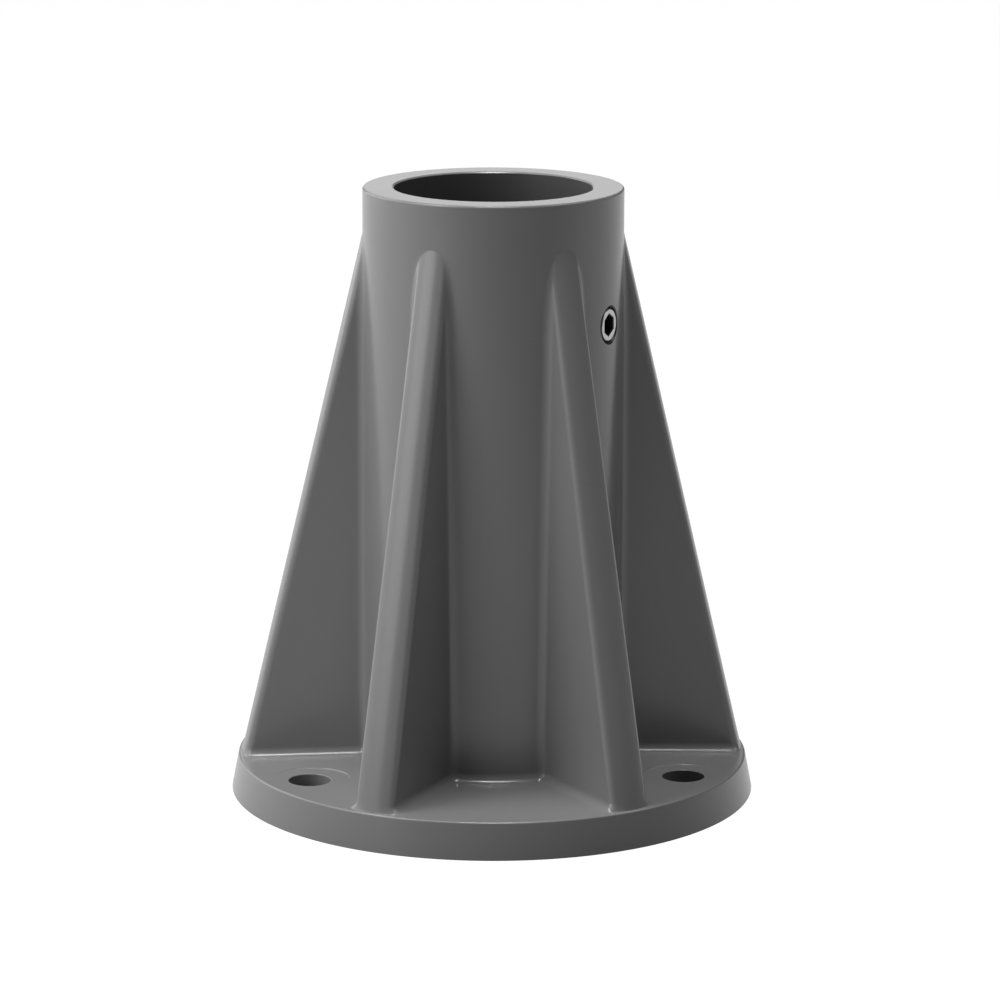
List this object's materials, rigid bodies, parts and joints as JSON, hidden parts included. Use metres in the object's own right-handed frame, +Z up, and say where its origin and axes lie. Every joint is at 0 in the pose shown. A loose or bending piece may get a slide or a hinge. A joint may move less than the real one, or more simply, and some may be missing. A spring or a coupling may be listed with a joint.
{
  "type": "deck mount flange",
  "caption": "Cast deck mount flange: a vertical socket tube on a round flange, braced by tapered ribs, with bolt holes in the flange and a set screw near the rim.",
  "frame": {"origin": "on the socket's axis, at the underside of the flange", "axes": "+Z up along the socket's bore; +X along the middle of one rib, so that the front bay between two ribs faces -Y"},
  "size_m": [0.137, 0.137, 0.159],
  "materials": {
    "powder_coat": "smooth satin grey powder coat on die-cast aluminium",
    "screw_steel": "bright stainless steel"
  },
  "bodies": {
    "root": {"flange_casting": "powder_coat", "set_screw": "screw_steel"}
  },
  "joints": []
}
